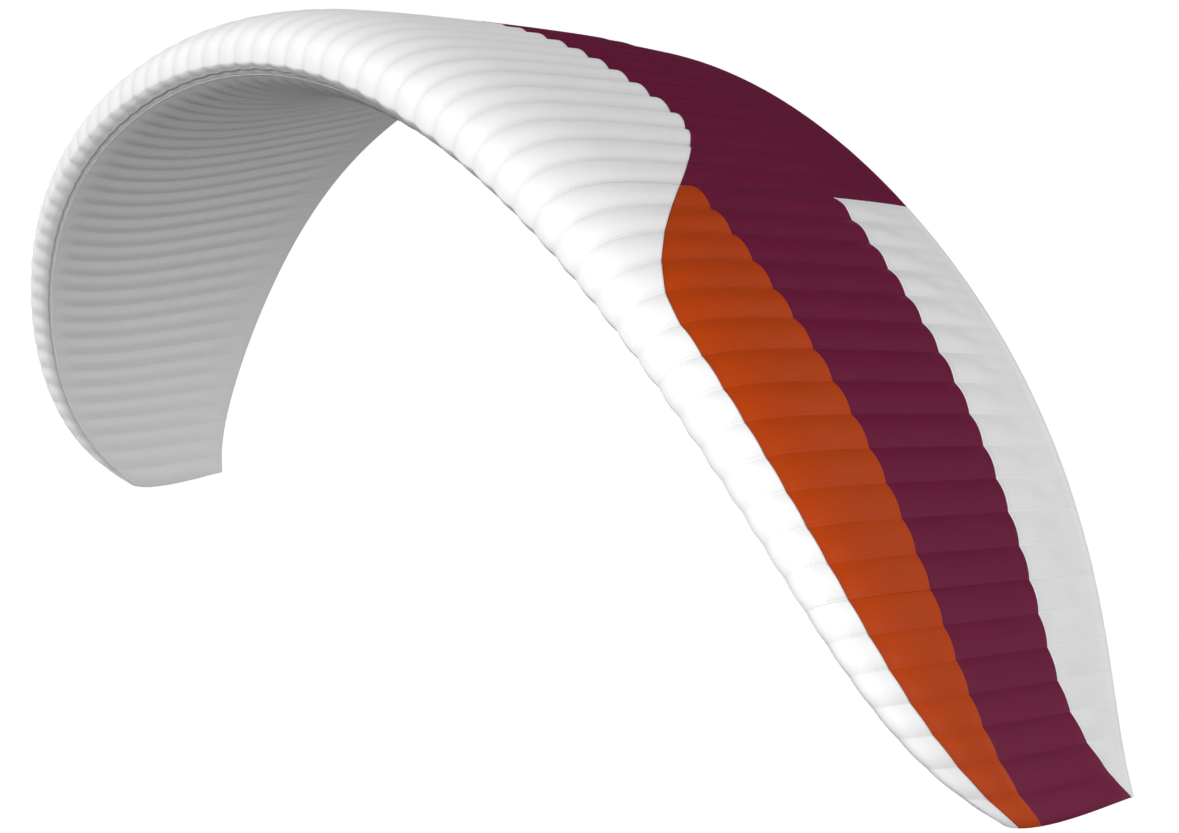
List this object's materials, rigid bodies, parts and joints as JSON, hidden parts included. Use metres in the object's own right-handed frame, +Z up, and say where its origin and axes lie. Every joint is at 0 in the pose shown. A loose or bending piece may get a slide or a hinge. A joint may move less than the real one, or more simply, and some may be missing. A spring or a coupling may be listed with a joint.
{
  "type": "paraglider wing",
  "caption": "Arched ram-air textile wing of sewn, air-filled cells, with a closed nose, an inlet band under it, tapered drooping tips and colour-blocked panels.",
  "frame": {"origin": "middle of the underside, between the two middle ribs at 30% of the chord, where the middle lines pull", "axes": "the wing flies towards -Y, +X is its left tip, +Z is up, away from the pilot"},
  "size_m": [10.9638, 1.9823, 3.164],
  "materials": {
    "white_cloth": "white coated ripstop cloth with a slight sheen",
    "wine_cloth": "wine red coated ripstop cloth with a slight sheen",
    "orange_cloth": "burnt orange coated ripstop cloth with a slight sheen",
    "inlet_cloth": "grey mesh-backed cloth of the inlet band",
    "lower_cloth": "pale grey coated ripstop cloth, matt"
  },
  "bodies": {
    "root": {"inlet_band_01": "inlet_cloth", "inlet_band_02": "inlet_cloth", "inlet_band_03": "inlet_cloth", "inlet_band_04": "inlet_cloth", "inlet_band_05": "inlet_cloth", "inlet_band_06": "inlet_cloth", "inlet_band_07": "inlet_cloth", "inlet_band_08": "inlet_cloth", "inlet_band_09": "inlet_cloth", "inlet_band_10": "inlet_cloth", "inlet_band_11": "inlet_cloth", "lower_panel_01": "lower_cloth", "lower_panel_02": "lower_cloth", "lower_panel_03": "lower_cloth", "lower_panel_04": "lower_cloth", "lower_panel_05": "lower_cloth", "lower_panel_06": "lower_cloth", "lower_panel_07": "lower_cloth", "lower_panel_08": "lower_cloth", "lower_panel_09": "lower_cloth", "lower_panel_10": "lower_cloth", "lower_panel_11": "lower_cloth", "nose_panel_01": "white_cloth", "nose_panel_02": "white_cloth", "nose_panel_03": "white_cloth", "nose_panel_04": "white_cloth", "nose_panel_05": "white_cloth", "nose_panel_06": "white_cloth", "nose_panel_07": "white_cloth", "nose_panel_08": "white_cloth", "nose_panel_09": "white_cloth", "nose_panel_10": "white_cloth", "nose_panel_11": "white_cloth", "orange_panel_01": "orange_cloth", "orange_panel_02": "orange_cloth", "orange_panel_03": "orange_cloth", "orange_panel_09": "orange_cloth", "orange_panel_10": "orange_cloth", "orange_panel_11": "orange_cloth", "rear_panel_01": "white_cloth", "rear_panel_02": "white_cloth", "rear_panel_03": "white_cloth", "rear_panel_09": "white_cloth", "rear_panel_10": "white_cloth", "rear_panel_11": "white_cloth", "wine_panel_01": "wine_cloth", "wine_panel_02": "wine_cloth", "wine_panel_03": "wine_cloth", "wine_panel_04": "wine_cloth", "wine_panel_05": "wine_cloth", "wine_panel_06": "wine_cloth", "wine_panel_07": "wine_cloth", "wine_panel_08": "wine_cloth", "wine_panel_09": "wine_cloth", "wine_panel_10": "wine_cloth", "wine_panel_11": "wine_cloth"}
  },
  "joints": []
}
